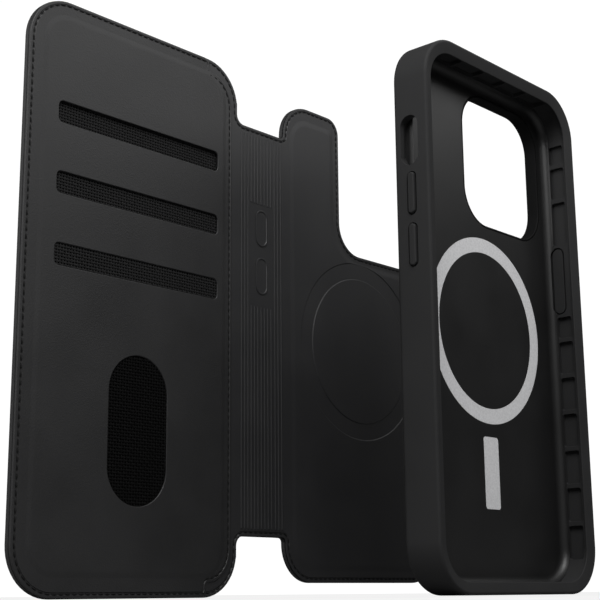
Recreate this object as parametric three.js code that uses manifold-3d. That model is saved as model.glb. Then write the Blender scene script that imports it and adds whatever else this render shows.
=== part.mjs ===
// A phone wallet case in two halves: a leather-look folio (wallet flap, spine, back cover)
// that stands open like a book, and a slim magnetic phone case in front of the back cover.
// Millimetres, +Z up. X runs along the open folio, the reader looks along +Y.

import * as THREE from "three";
import { mergeVertices } from "three/addons/utils/BufferGeometryUtils.js";
import Module from "manifold-3d";

const wasm = await Module();
wasm.setup();

// ---- driving dimensions --------------------------------------------------------------
// x is 0 at the seam between flap and spine, y is 0 on the folio's inner face, z is 0 on the floor

const glue = 0.05; // thickness left free between two stacked layers
const skin = 0.55; // outer cover material
const lining = 0.5; // inner cover material
const coverThickness = 2.1; // flap and back cover, lining to skin
const spineThickness = 1.2; // the spine has no board

const flapLeft = -71.2;
const flapTop = 151.4;
const flapRadius = 12.5;
const hingeGap = 0.7; // each side of a fold line
const flapFoldX = 2.3; // fold between flap and spine
const backFoldX = 16.9; // fold between spine and back cover
const spineBottom = 16.2;
const spineTop = 135.2;

const backLeft = 22;
const backRight = 91.8;
const backBottom = 3.8;
const backTop = 147.7; // top of the tab beside the camera
const backRadius = 11;
const tabRight = 47.7;
const tabRadius = 5;
const notchBottom = 104.8; // lower edge of the camera notch
const notchRadius = 9.3;

const pillow = 0.45; // how far the padded middle of a cover stands proud
const pillowInset = 4.2;
const pillowSlope = 1.2;
const stitchInset = 1.2;
const threadWidth = 0.4;
const threadHeight = 0.12;

const slotLeft = -61.6;
const slotRight = -5.7;
const slotHeight = 5.8;
const slotCentres = [83.6, 102.2, 120.9]; // from the lowest card slot up
const windowX = -33.5;
const windowWidth = 19.6;
const windowBottom = 22.6;
const windowTop = 61.2;

const ringX = 56.9; // centre of both magnet rings
const ringZ = 74.4;
const ringSides = 48;
const embossOuter = 28;
const embossInner = 22.5;

const caseLeft = 18.7;
const caseRight = 95.1;
const caseTop = 152.3;
const caseRadius = 13.5;
const caseFront = -56.5;
const caseBack = -44.75;
const caseFloor = -47.1; // the face the phone lies on
const wall = 2.7;
const lipWidth = 3.4;
const lipThickness = 1.4;
const edgeRound = 1.5;
const trayInset = 1.5;

const holeLeft = 48.9;
const holeRight = 88;
const holeBottom = 106;
const holeTop = 145.8;
const holeRadius = 10.5;
const bezelWidth = 0.75;
const bezelProud = 1.6;

const caseRingOuter = 27.2;
const caseRingInner = 22.8;
const barX = 56.8;
const barWidth = 7.2;
const barBottom = 23.3;
const barTop = 43.5;
const inlayThickness = 0.25;

const buttonY = -50.5;
const buttonGap = 0.3;
const buttonProud = 0.3;
const volumeUpZ = 106.3;
const volumeDownZ = 91.8;
const volumeLength = 12.3;
const sideButtonZ = 94.5;
const sideButtonLength = 19.6;
const buttonWidth = 3.2;

// ---- looks -----------------------------------------------------------------------------

const leather = new THREE.MeshStandardMaterial({ color: 0x1b1b1c, roughness: 0.7, metalness: 0 });
const liner = new THREE.MeshStandardMaterial({ color: 0x202021, roughness: 0.75, metalness: 0 });
const board = new THREE.MeshStandardMaterial({ color: 0x8a8175, roughness: 0.9, metalness: 0 });
const mesh = new THREE.MeshStandardMaterial({ color: 0x121213, roughness: 0.95, metalness: 0 });
const thread = new THREE.MeshStandardMaterial({ color: 0x0c0c0d, roughness: 0.8, metalness: 0 });
const magnet = new THREE.MeshStandardMaterial({ color: 0xa9abad, roughness: 0.35, metalness: 1 });
const steel = new THREE.MeshStandardMaterial({ color: 0x8f9296, roughness: 0.4, metalness: 1 });
const rubber = new THREE.MeshStandardMaterial({ color: 0x242425, roughness: 0.62, metalness: 0 });
const plastic = new THREE.MeshStandardMaterial({ color: 0x212122, roughness: 0.55, metalness: 0 });
const inlay = new THREE.MeshStandardMaterial({ color: 0xb9babc, roughness: 0.5, metalness: 0 });

// ---- solids ----------------------------------------------------------------------------

function toSolid(geometry) {
  const bare = geometry.clone();
  bare.deleteAttribute("normal");
  bare.deleteAttribute("uv");
  const merged = mergeVertices(bare, 1e-4);
  return new wasm.Manifold(new wasm.Mesh({
    numProp: 3,
    vertProperties: new Float32Array(merged.attributes.position.array),
    triVerts: new Uint32Array(merged.index.array),
  }));
}

function toGeometry(solid) {
  const result = solid.getMesh();
  const geometry = new THREE.BufferGeometry();
  geometry.setAttribute("position", new THREE.BufferAttribute(new Float32Array(result.vertProperties), 3));
  geometry.setIndex(new THREE.BufferAttribute(new Uint32Array(result.triVerts), 1));
  geometry.computeVertexNormals();
  return geometry;
}

// Closed outline in x and z through corners [x, z, radius], listed anticlockwise, moved in by
// inset: an outer corner's arc shrinks by it and an inner corner's arc grows by it.
function outline(corners, inset = 0) {
  const points = corners.map(([x, z]) => new THREE.Vector2(x, z));
  const count = points.length;
  const edge = (i) => points[(i + 1) % count].clone().sub(points[i]).normalize();
  const shape = new THREE.Shape();
  for (let i = 0; i < count; i++) {
    const before = edge((i + count - 1) % count);
    const after = edge(i);
    const turn = Math.asin(before.cross(after));
    const slide = inset * Math.tan(Math.abs(turn) / 2) * Math.sign(turn);
    const corner = points[i].clone()
      .add(new THREE.Vector2(-before.y, before.x).multiplyScalar(inset))
      .sub(before.clone().multiplyScalar(slide));
    const radius = Math.max(corners[i][2] - Math.sign(turn) * inset, 0.3);
    const reach = radius * Math.tan(Math.abs(turn) / 2);
    const side = Math.sign(turn);
    const start = corner.clone().sub(before.clone().multiplyScalar(reach));
    const centre = start.clone().add(new THREE.Vector2(-before.y, before.x).multiplyScalar(radius * side));
    const from = Math.atan2(start.y - centre.y, start.x - centre.x);
    if (i === 0) shape.moveTo(start.x, start.y);
    else shape.lineTo(start.x, start.y);
    shape.absarc(centre.x, centre.y, radius, from, from + turn, turn < 0);
  }
  shape.closePath();
  return shape;
}

function box(left, right, bottom, top, radius, inset = 0) {
  return outline([
    [left, bottom, radius],
    [right, bottom, radius],
    [right, top, radius],
    [left, top, radius],
  ], inset);
}

// A plate between two depths. The outline lies in x and z.
function plate(shape, front, back, steps = 6) {
  const geometry = new THREE.ExtrudeGeometry(shape, { depth: back - front, bevelEnabled: false, curveSegments: steps });
  geometry.rotateX(Math.PI / 2);
  geometry.translate(0, back, 0);
  return toSolid(geometry);
}

// A plate whose front and back edges are rounded over
function roundedPlate(shape, front, back, round, steps = 6, roundSteps = 2) {
  const geometry = new THREE.ExtrudeGeometry(shape, {
    depth: back - front - 2 * round,
    bevelEnabled: true,
    bevelThickness: round,
    bevelSize: round,
    bevelOffset: -round,
    bevelSegments: roundSteps,
    curveSegments: steps,
  });
  geometry.rotateX(Math.PI / 2);
  geometry.translate(0, back - round, 0);
  return toSolid(geometry);
}

// A low plateau that stands proud of y = 0 by height, with sloping sides
function plateau(corners, inset, height, base, steps = 6) {
  const geometry = new THREE.ExtrudeGeometry(outline(corners, inset + pillowSlope), {
    depth: base,
    bevelEnabled: true,
    bevelThickness: height,
    bevelSize: pillowSlope,
    bevelOffset: 0,
    bevelSegments: 1,
    curveSegments: steps,
  });
  geometry.rotateX(Math.PI / 2);
  geometry.translate(0, base, 0);
  const slab = toSolid(geometry);
  return slab.subtract(plate(box(-200, 200, -50, 250, 1), base, base + 5));
}

function disc(radius, front, back, sides = ringSides) {
  const geometry = new THREE.CylinderGeometry(radius, radius, back - front, sides);
  geometry.translate(ringX, (front + back) / 2, ringZ);
  return toSolid(geometry);
}

function ring(outer, inner, front, back, sides = ringSides) {
  return disc(outer, front, back, sides).subtract(disc(inner, front - 1, back + 1, sides));
}

function block(left, right, front, back, bottom, top) {
  const geometry = new THREE.BoxGeometry(right - left, back - front, top - bottom);
  geometry.translate((left + right) / 2, (front + back) / 2, (bottom + top) / 2);
  return toSolid(geometry);
}

// A pill lying along z on a side wall, between two x positions
function pillAlongZ(centreZ, length, width, left, right, steps = 4) {
  const half = length / 2;
  const side = width / 2;
  const shape = outline([
    [buttonY - side, centreZ - half, side - 0.01],
    [buttonY + side, centreZ - half, side - 0.01],
    [buttonY + side, centreZ + half, side - 0.01],
    [buttonY - side, centreZ + half, side - 0.01],
  ]);
  const geometry = new THREE.ExtrudeGeometry(shape, { depth: right - left, bevelEnabled: false, curveSegments: steps });
  const turned = new THREE.Matrix4().makeBasis(
    new THREE.Vector3(0, 1, 0),
    new THREE.Vector3(0, 0, 1),
    new THREE.Vector3(1, 0, 0),
  );
  geometry.applyMatrix4(turned);
  geometry.translate(left, 0, 0);
  return toSolid(geometry);
}

// A pill lying along x through the bottom wall
function pillAlongX(centreX, centreY, length, width, bottom, top, steps = 4) {
  const round = width / 2 - 0.01;
  const shape = box(-length / 2, length / 2, -width / 2, width / 2, round);
  const geometry = new THREE.ExtrudeGeometry(shape, { depth: top - bottom, bevelEnabled: false, curveSegments: steps });
  geometry.translate(centreX, centreY, bottom);
  return toSolid(geometry);
}

const whole = new THREE.Group();

function add(name, solid, material) {
  const part = new THREE.Mesh(toGeometry(solid), material);
  part.name = name;
  whole.add(part);
}

// ---- outlines --------------------------------------------------------------------------

const flapEdge = flapFoldX - hingeGap;

function flapCorners(right, rightRadius) {
  return [
    [flapLeft, 0, flapRadius],
    [right, 0, rightRadius],
    [right, flapTop, rightRadius],
    [flapLeft, flapTop, flapRadius],
  ];
}

const backCorners = [
  [backLeft, backBottom, backRadius],
  [backRight, backBottom, backRadius],
  [backRight, notchBottom, backRadius],
  [tabRight, notchBottom, notchRadius],
  [tabRight, backTop, tabRadius],
  [backLeft, backTop, backRadius],
];

// The neck that carries the back cover's leather towards the spine
function backNeck(front, back) {
  return block(backFoldX + hingeGap, backLeft + 3, front, back, spineBottom, spineTop);
}

// ---- flap ------------------------------------------------------------------------------

const boardFront = coverThickness - skin - glue - 0.5;
const boardBack = coverThickness - skin - glue;

// Leather outside of the flap: a shallow tray round the board that thins towards the fold
function flapSkin() {
  const outer = plate(outline(flapCorners(flapEdge, 11)), lining + 2 * glue, coverThickness);
  const hollow = plate(outline(flapCorners(-0.9, 10), 0.9), 0, coverThickness - skin);
  const relief = block(0.3, 10, spineThickness, coverThickness + 1, -5, 160);
  return outer.subtract(hollow).subtract(relief);
}

function flapBoard() {
  return plate(outline(flapCorners(-0.9, 10), 1), boardFront, boardBack);
}

const pocketArea = (inset) => box(-64.8, -4.1, 17.6, 132.4, 3, inset);

// U-shaped welt that sets the depth of the card pockets and closes them at the sides
function pocketSpacer() {
  const frame = plate(outline(flapCorners(-0.9, 10), 1), lining + 2 * glue, boardFront - glue);
  return frame.subtract(plate(pocketArea(0), 0, 3));
}

// Woven sheet behind each slot that keeps one card off the next
function cardDivider(order) {
  const front = 0.12 + order * 0.3;
  const above = plate(box(-80, 10, slotCentres[order] + 9, 140, 1), 0, 3, 1);
  return plate(pocketArea(0.4), front, front + 0.2).subtract(above);
}

// Formed leather face of the wallet with three card slots and a thumb window
function walletFace() {
  const corners = flapCorners(0.2, 9.6);
  const raised = plateau(corners, pillowInset, pillow, 0.3);
  let face = plate(outline(corners), 0, lining).add(raised).subtract(plate(pocketArea(0), glue, 3));
  for (const z of slotCentres) {
    const opening = box(slotLeft, slotRight, z - slotHeight / 2, z + slotHeight / 2, 1.4);
    face = face.subtract(plate(opening, -2, 2, 3));
  }
  const half = windowWidth / 2;
  const oval = box(windowX - half, windowX + half, windowBottom, windowTop, half - 0.01);
  return face.subtract(plate(oval, -2, 2, 8));
}

// One flat ribbon of thread round a closed outline
function stitchLoop(corners, inset, front) {
  const band = plate(outline(corners, inset - threadWidth / 2), front - threadHeight, front);
  return band.subtract(plate(outline(corners, inset + threadWidth / 2), front - 1, front + 1));
}

add("flap_skin", flapSkin(), leather);
add("flap_board", flapBoard(), board);
add("pocket_spacer", pocketSpacer(), board);
slotCentres.forEach((_, order) => add(`card_divider_${order + 1}`, cardDivider(order), mesh));
add("wallet_face", walletFace(), leather);
add("flap_stitching", stitchLoop(flapCorners(0.2, 9.6), stitchInset, -glue), thread);

// ---- spine -----------------------------------------------------------------------------

const spineLeft = flapFoldX + hingeGap;
const spineRight = backFoldX - hingeGap;
const ribHeight = 0.2;
const ribWidth = 0.6;
const sideRibs = [4.3, 5.6, 6.9];
const backRibs = [17.95, 19.3, 20.65];
const middleRibCount = 6;
const middleRibFirst = 8.2;
const middleRibPitch = 1.36;
const plainBottom = 81.3; // the ribs stop for the plain patch over the volume buttons
const plainTop = 112.2;

function spineSkin() {
  return plate(box(spineLeft, spineRight, spineBottom, spineTop, 0.3), lining + 2 * glue, spineThickness, 1);
}

function rib(x, bottom, top) {
  return block(x - ribWidth / 2, x + ribWidth / 2, -ribHeight, lining / 2, bottom, top);
}

function padOutline(centreZ) {
  const outer = plate(box(10.1, 14.9, centreZ - 5.5, centreZ + 5.5, 2.3), -ribHeight, lining / 2, 4);
  return outer.subtract(plate(box(10.7, 14.3, centreZ - 4.9, centreZ + 4.9, 1.7), -1, 1, 4));
}

// Ribbed lining with two pill outlines where the volume buttons are pressed through it
function spineLining() {
  const bottom = spineBottom + 2;
  const top = spineTop - 2;
  let sheet = plate(box(spineLeft, spineRight, spineBottom, spineTop, 0.3), 0, lining, 1);
  for (const x of sideRibs) sheet = sheet.add(rib(x, bottom, top));
  for (let i = 0; i < middleRibCount; i++) {
    const x = middleRibFirst + i * middleRibPitch;
    sheet = sheet.add(rib(x, bottom, plainBottom)).add(rib(x, plainTop, top));
  }
  return sheet.add(padOutline(volumeUpZ - 1.3)).add(padOutline(volumeDownZ - 1.2));
}

function spineStitch(z) {
  return block(spineLeft + 0.2, spineRight - 0.2, -glue - threadHeight, -glue, z - threadWidth / 2, z + threadWidth / 2);
}

add("spine_skin", spineSkin(), leather);
add("spine_lining", spineLining(), liner);
add("spine_top_stitching", spineStitch(spineTop - stitchInset), thread);
add("spine_bottom_stitching", spineStitch(spineBottom + stitchInset), thread);

// ---- back cover ------------------------------------------------------------------------

const magnetFront = lining + 2 * glue;
const magnetBack = magnetFront + 0.4;
const shuntBack = magnetBack + glue + 0.2;
const magnetCount = 16;

function backSkin() {
  const front = lining + glue;
  const outer = plate(outline(backCorners), front, coverThickness)
    .add(backNeck(front + glue, coverThickness));
  const hollow = plate(outline(backCorners, 0.9), 0, coverThickness - skin);
  const relief = block(0, backLeft - 2, spineThickness, coverThickness + 1, -5, 160);
  return outer.subtract(hollow).subtract(relief);
}

// Stiffener with a round pocket for the magnets
function backBoard() {
  const sheet = plate(outline(backCorners, 1), lining + glue, boardBack);
  return sheet.subtract(ring(embossOuter + 0.3, embossInner - 0.4, 0, shuntBack + glue));
}

function backLining() {
  const proud = pillow - 0.05;
  const raised = plateau(backCorners, pillowInset, proud, 0.25);
  let sheet = plate(outline(backCorners), 0, lining).add(backNeck(0, lining)).add(raised);
  sheet = sheet.subtract(ring(embossOuter, embossInner, -2, -proud + 0.25));
  for (const x of backRibs) sheet = sheet.add(rib(x, spineBottom + 2, spineTop - 2));
  return sheet;
}

// Ring of flat magnets that touch at its inner edge, with a narrow gap between each two
function magnetRing(outer, inner, front, back) {
  const gap = 0.5;
  const depth = (outer - inner) * 0.7;
  let body = ring(outer, inner, front, back);
  for (let i = 0; i < magnetCount; i++) {
    const angle = (i / magnetCount) * Math.PI * 2;
    const notch = new THREE.BoxGeometry(depth + 1, back - front + 2, gap);
    notch.translate(outer - depth / 2 + 0.5, 0, 0);
    notch.rotateY(angle);
    notch.translate(ringX, (front + back) / 2, ringZ);
    body = body.subtract(toSolid(notch));
  }
  return body;
}

add("back_skin", backSkin(), leather);
add("back_board", backBoard(), board);
add("back_lining", backLining(), leather);
add("cover_magnets", magnetRing(embossOuter, embossInner, magnetFront, magnetBack), magnet);
add("cover_shunt", ring(embossOuter, embossInner, magnetBack + glue, shuntBack), steel);
add("back_stitching", stitchLoop(backCorners, 1, -glue), thread);

// ---- case ------------------------------------------------------------------------------

const caseOutline = (inset) => box(caseLeft, caseRight, 0, caseTop, caseRadius, inset);
const holeOutline = (inset) => box(holeLeft, holeRight, holeBottom, holeTop, holeRadius, inset);
const cavityFront = caseFront + lipThickness;
const ringSeat = 1.4; // depth of the seat for the case's magnets below its floor

// Hard back of the case, with the camera opening and seats for the ring and the bar
function caseTray() {
  const seat = caseFloor + ringSeat;
  return plate(caseOutline(trayInset + 0.05), caseFloor, caseBack, 8)
    .subtract(plate(holeOutline(-bezelWidth - 0.05), caseFloor - 1, caseBack + 1, 8))
    .subtract(ring(caseRingOuter + 0.05, caseRingInner - 0.05, caseFloor - 1, seat))
    .subtract(plate(barOutline(-0.05), caseFloor - 1, seat, 3));
}

function barOutline(inset) {
  return box(barX - barWidth / 2, barX + barWidth / 2, barBottom, barTop, 1.2, inset);
}

const pocketDepth = 1.1;
const pocketFront = -54.2;
const pocketBack = -49.4;
const lowPocket = { first: 14.8, pitch: 11.1, height: 9.7, count: 7 };
const highPockets = [[105.9, 119.4], [120.9, 130.7], [132.2, 138]];
const endPockets = { halfWidth: 4.9, pitch: 11.1, nearest: 16.7, count: 2 };

// Air pockets that let the side walls crush in a fall, cut into the inside of the wall
function airPockets() {
  const cuts = [];
  const left = caseLeft + wall;
  const right = caseRight - wall;
  const sides = [[left - pocketDepth, left + 0.5], [right - 0.5, right + pocketDepth]];
  for (const [from, to] of sides) {
    for (let i = 0; i < lowPocket.count; i++) {
      const middle = lowPocket.first + i * lowPocket.pitch;
      const top = Math.min(middle + lowPocket.height / 2, 83);
      cuts.push(block(from, to, pocketFront, pocketBack, middle - lowPocket.height / 2, top));
    }
  }
  for (const [bottom, top] of highPockets) {
    cuts.push(block(right - 0.5, right + pocketDepth, pocketFront, pocketBack, bottom, top));
  }
  cuts.push(block(left - pocketDepth, left + 0.5, pocketFront, pocketBack, ...highPockets[2]));
  const middleX = (caseLeft + caseRight) / 2;
  const ends = [[wall - pocketDepth, wall + 0.5], [caseTop - wall - 0.5, caseTop - wall + pocketDepth]];
  for (const [bottom, top] of ends) {
    for (const side of [-1, 1]) {
      for (let i = 0; i < endPockets.count; i++) {
        const x = middleX + side * (endPockets.nearest - 5 + i * endPockets.pitch);
        const low = bottom < 10 ? pocketFront + 2.9 : pocketFront;
        if (bottom < 10 && i === 0) continue;
        cuts.push(block(x - endPockets.halfWidth, x + endPockets.halfWidth, low, pocketBack, bottom, top));
      }
    }
    if (bottom > 10) cuts.push(block(middleX - 4.9, middleX + 4.9, pocketFront, pocketBack, bottom, top));
  }
  return cuts;
}

const flangeExtra = 0.8;

// Opening for a button: a slot through the wall and a wider seat for its flange inside
function buttonOpening(z, length, outerX, innerX) {
  const direction = Math.sign(innerX - outerX);
  const shoulder = outerX + direction * (wall - 1.1);
  const span = (a, b) => [Math.min(a, b), Math.max(a, b)];
  const through = pillAlongZ(z, length, buttonWidth, ...span(outerX - direction, innerX + direction * 0.5));
  const seat = pillAlongZ(
    z,
    length + 2 * flangeExtra,
    buttonWidth + 2 * flangeExtra,
    ...span(shoulder, innerX + direction * 0.5),
  );
  return through.add(seat);
}

const switchZ = 121.5;
const switchLength = 14.3;
const switchWidth = 5.9;
const portX = 56.9;
const portY = -51.2;
const portLength = 13.4;
const portWidth = 6.4;
const grilleLength = 11;
const grilleWidth = 2.4;
const grilleReach = 15.5;

// Rubber wall round the phone: lip in front, cavity, air pockets, button slots and ports
function caseBumper() {
  const outer = roundedPlate(caseOutline(0), caseFront, caseBack, edgeRound, 8);
  let body = outer
    .subtract(plate(caseOutline(lipWidth), caseFront - 1, caseFloor, 8))
    .subtract(plate(caseOutline(wall), cavityFront, caseFloor, 8))
    .subtract(plate(caseOutline(trayInset), caseFloor - glue, caseBack + 1, 8));
  for (const cut of airPockets()) body = body.subtract(cut);
  body = body
    .subtract(buttonOpening(volumeUpZ, volumeLength, caseLeft, caseLeft + wall))
    .subtract(buttonOpening(volumeDownZ, volumeLength, caseLeft, caseLeft + wall))
    .subtract(buttonOpening(sideButtonZ, sideButtonLength, caseRight, caseRight - wall))
    .subtract(pillAlongX(portX, portY, portLength, portWidth, -1, wall + 1));
  const opening = pillAlongZ(switchZ, switchLength, switchWidth, caseLeft - 1, caseLeft + wall + 0.5, 5);
  body = body.subtract(opening);
  for (const side of [-1, 1]) {
    const x = portX + side * grilleReach;
    body = body.subtract(pillAlongX(x, portY, grilleLength, grilleWidth, -1, wall + 1, 3));
  }
  return body;
}

// Raised ring round the camera opening that keeps the lenses off a table
function cameraBezel() {
  const outer = plate(holeOutline(-bezelWidth), caseFloor, caseBack + bezelProud, 8);
  return outer.subtract(plate(holeOutline(0), caseFloor - 1, caseBack + bezelProud + 1, 8));
}

// Pill button with a flange that keeps it behind the wall
function button(z, length, outerX, innerX) {
  const direction = Math.sign(innerX - outerX);
  const span = (a, b) => [Math.min(a, b), Math.max(a, b)];
  const face = outerX - direction * buttonProud;
  const flangeFace = innerX - direction * 0.75;
  const back = innerX - direction * 0.2;
  const narrow = 2 * buttonGap;
  const wide = 2 * flangeExtra - 2 * buttonGap;
  return pillAlongZ(z, length - narrow, buttonWidth - narrow, ...span(face, back))
    .add(pillAlongZ(z, length + wide, buttonWidth + wide, ...span(flangeFace, back)));
}

const magnetTop = caseFloor + inlayThickness + 2 * glue;
const magnetBase = caseFloor + ringSeat - glue;

add("case_tray", caseTray(), plastic);
add("case_bumper", caseBumper(), rubber);
add("camera_bezel", cameraBezel(), rubber);
add("case_magnets", magnetRing(caseRingOuter, caseRingInner, magnetTop, magnetBase - 0.3), magnet);
add("case_shunt", ring(caseRingOuter, caseRingInner, magnetBase - 0.25, magnetBase), steel);
add("ring_inlay", ring(caseRingOuter, caseRingInner, caseFloor + glue, caseFloor + glue + inlayThickness), inlay);
add("bar_magnet", plate(barOutline(0.4), magnetTop, magnetBase, 3), magnet);
add("bar_inlay", plate(barOutline(0), caseFloor + glue, caseFloor + glue + inlayThickness, 4), inlay);
add("volume_up_button", button(volumeUpZ, volumeLength, caseLeft, caseLeft + wall), rubber);
add("volume_down_button", button(volumeDownZ, volumeLength, caseLeft, caseLeft + wall), rubber);
add("side_button", button(sideButtonZ, sideButtonLength, caseRight, caseRight - wall), rubber);

// ---- placing ---------------------------------------------------------------------------

// The origin is on the floor below the middle of the whole object
whole.position.set(-(flapLeft + caseRight + buttonProud) / 2, -(caseFront + coverThickness) / 2, 0);

export default whole;
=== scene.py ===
import math

import bmesh
import bpy
from mathutils import Matrix, Vector


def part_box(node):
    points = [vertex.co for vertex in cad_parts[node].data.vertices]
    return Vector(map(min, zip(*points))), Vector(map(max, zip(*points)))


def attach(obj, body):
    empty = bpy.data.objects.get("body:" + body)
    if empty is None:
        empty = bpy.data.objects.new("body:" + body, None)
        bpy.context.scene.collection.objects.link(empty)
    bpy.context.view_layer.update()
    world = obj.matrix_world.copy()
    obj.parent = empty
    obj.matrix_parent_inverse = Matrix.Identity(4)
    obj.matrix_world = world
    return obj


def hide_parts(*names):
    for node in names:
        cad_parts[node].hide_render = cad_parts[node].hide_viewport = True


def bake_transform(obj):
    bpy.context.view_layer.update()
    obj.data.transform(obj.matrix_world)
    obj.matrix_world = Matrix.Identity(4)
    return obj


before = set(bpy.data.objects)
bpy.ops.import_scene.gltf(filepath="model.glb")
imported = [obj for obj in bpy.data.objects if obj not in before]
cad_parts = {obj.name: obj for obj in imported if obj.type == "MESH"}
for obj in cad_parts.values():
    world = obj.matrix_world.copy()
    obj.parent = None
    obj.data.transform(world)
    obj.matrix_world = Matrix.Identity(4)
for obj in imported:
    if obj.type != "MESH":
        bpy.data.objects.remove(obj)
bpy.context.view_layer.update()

# Camera: low in front of the folio, turned to the right and tipped slightly up, so that the flap
# sweeps past on the left and the case stands nearest.
camera_data = bpy.data.cameras.new("studio_camera")
camera_data.sensor_width = 36
camera_data.lens = 77.41
camera_data.clip_start = 0.01
camera_data.clip_end = 20
yaw, pitch, roll = math.radians(47.7334), math.radians(12.8302), math.radians(-0.51679)
aim = Vector((math.sin(yaw) * math.cos(pitch), math.cos(yaw) * math.cos(pitch), math.sin(pitch)))
level_right = Vector((math.cos(yaw), -math.sin(yaw), 0))
level_up = level_right.cross(aim)
camera_right = math.cos(roll) * level_right + math.sin(roll) * level_up
camera_up = math.cos(roll) * level_up - math.sin(roll) * level_right
camera = bpy.data.objects.new("studio_camera", camera_data)
camera.matrix_world = Matrix((
    (camera_right.x, camera_up.x, -aim.x, -0.26094),
    (camera_right.y, camera_up.y, -aim.y, -0.225243),
    (camera_right.z, camera_up.z, -aim.z, 0.0008),
    (0, 0, 0, 1),
))
bpy.context.collection.objects.link(camera)
bpy.context.scene.camera = camera


def new_finish(name):
    """A material with its nodes, its links and its shader."""
    finish = bpy.data.materials.new(name)
    finish.use_nodes = True
    tree = finish.node_tree
    return finish, tree.nodes, tree.links, tree.nodes["Principled BSDF"]


def two_colours(nodes, dark, light, low=0, high=1):
    ramp = nodes.new("ShaderNodeValToRGB")
    for stop, colour, share in zip(ramp.color_ramp.elements, (dark, light), (low, high)):
        stop.position, stop.color = share, (*colour, 1)
    return ramp


# Studio: a pale floor, a dim white room, a strong softbox in front and above on the left, a weak
# one in front on the right and one behind on the left. Floor and room look bright to the camera
# only, so that the black pieces show mostly the softboxes.
bpy.ops.object.select_all(action="DESELECT")
bpy.ops.mesh.primitive_plane_add(size=4, location=(0, 0, -0.0004))
floor = bpy.context.object
floor.name = "studio_floor"
floor_paint, nodes, links, shader = new_finish("pale_floor")
shader.inputs["Roughness"].default_value = 0.6
cloud = nodes.new("ShaderNodeTexNoise")
cloud.inputs["Scale"].default_value = 3
ramp = two_colours(nodes, (0.90, 0.90, 0.90), (0.94, 0.94, 0.94))
place = nodes.new("ShaderNodeTexCoord")
links.new(place.outputs["Object"], cloud.inputs["Vector"])
links.new(cloud.outputs["Fac"], ramp.inputs["Fac"])
shader.inputs["Base Color"].default_value = (0.25, 0.25, 0.25, 1)
lit = nodes.new("ShaderNodeEmission")
lit.inputs["Strength"].default_value = 1.05
seen = nodes.new("ShaderNodeLightPath")
share = nodes.new("ShaderNodeMath")
share.operation = "MULTIPLY"
share.inputs[1].default_value = 0.9
choice = nodes.new("ShaderNodeMixShader")
links.new(ramp.outputs["Color"], lit.inputs["Color"])
links.new(seen.outputs["Is Camera Ray"], share.inputs[0])
links.new(share.outputs["Value"], choice.inputs["Fac"])
links.new(shader.outputs["BSDF"], choice.inputs[1])
links.new(lit.outputs["Emission"], choice.inputs[2])
links.new(choice.outputs["Shader"], nodes["Material Output"].inputs["Surface"])
floor.data.materials.append(floor_paint)

room = bpy.data.worlds.new("studio_room")
bpy.context.scene.world = room
room.use_nodes = True
nodes, links = room.node_tree.nodes, room.node_tree.links
background = nodes["Background"]
background.inputs["Color"].default_value = (1, 1, 1, 1)
background.inputs["Strength"].default_value = 0.055
bright = nodes.new("ShaderNodeBackground")
bright.inputs["Color"].default_value = (1, 1, 1, 1)
bright.inputs["Strength"].default_value = 1.05
seen = nodes.new("ShaderNodeLightPath")
choice = nodes.new("ShaderNodeMixShader")
links.new(seen.outputs["Is Camera Ray"], choice.inputs["Fac"])
links.new(background.outputs["Background"], choice.inputs[1])
links.new(bright.outputs["Background"], choice.inputs[2])
links.new(choice.outputs["Shader"], nodes["World Output"].inputs["Surface"])
bpy.context.scene.view_settings.view_transform = "Standard"


def softbox(name, at, towards, width, height, watts):
    lamp = bpy.data.lights.new(name, "AREA")
    lamp.shape = "RECTANGLE"
    lamp.size, lamp.size_y, lamp.energy = width, height, watts
    hung = bpy.data.objects.new(name, lamp)
    hung.location = at
    hung.rotation_mode = "QUATERNION"
    hung.rotation_quaternion = (Vector(towards) - Vector(at)).to_track_quat("-Z", "Y")
    hung.visible_camera = False
    bpy.context.collection.objects.link(hung)


softbox("top_softbox", (-0.22, -0.22, 0.45), (0, 0, 0.1), 0.35, 0.3, 2.4)
softbox("right_softbox", (0.17, -0.24, 0.35), (0, 0.02, 0.12), 0.35, 0.22, 0.5)
softbox("left_softbox", (-0.50, 0.24, 0.32), (0, 0, 0.12), 0.3, 0.4, 1.3)

# Every new piece is drawn in millimetres, with x = 0 at the flap's seam, y = 0 on the lining's
# inner face and z = 0 at the folio's foot, and set_in_place then brings it to the frame.
#
# Folio outer leather: one coated sheet that covers the flap, the spine and the back cover. Its
# rim is turned forward round the boards, and the spine is pressed in between two folds. It is
# parted at the middle of the rigid spine, with one half on each side.
flap_left, flap_top, flap_right = -71.2, 151.4, 2.5
spine_bottom, spine_top = 16.2, 135.2
back_left, back_right, back_bottom, back_top = 22.0, 91.8, 3.8, 147.7
tab_right, notch_bottom = 47.7, 104.8
cover_back, spine_back, rim_front, leather_thickness = 2.1, 1.2, 0.55, 0.5
spine_middle, face_back = 7.55, 0.5
seam = Vector((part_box("flap_skin")[0].x - flap_left / 1000,
               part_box("wallet_face")[1].y - face_back / 1000, 0))
flap_fold, back_fold, fold_reach = 2.3, 16.9, 2
press_left, press_right, press_slope = -1.1, 20.4, 2.8


def add_blank(name, left, right, bottom, top, y):
    """A flat cut piece that faces the reader, in millimetres from the flap seam, in edit mode."""
    put_down()
    bpy.ops.mesh.primitive_plane_add(
        size=1, location=((left + right) / 2, y, (bottom + top) / 2), rotation=(math.pi / 2, 0, 0))
    blank = bpy.context.object
    blank.name = name
    blank.scale = (right - left, top - bottom, 1)
    apply_place()
    mode("EDIT")
    return blank


def mode(name):
    bpy.ops.object.mode_set(mode=name)


def apply_place():
    """Puts the place, turn and size of the piece in hand into its mesh."""
    bpy.ops.object.transform_apply(location=True, rotation=True, scale=True)


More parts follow.
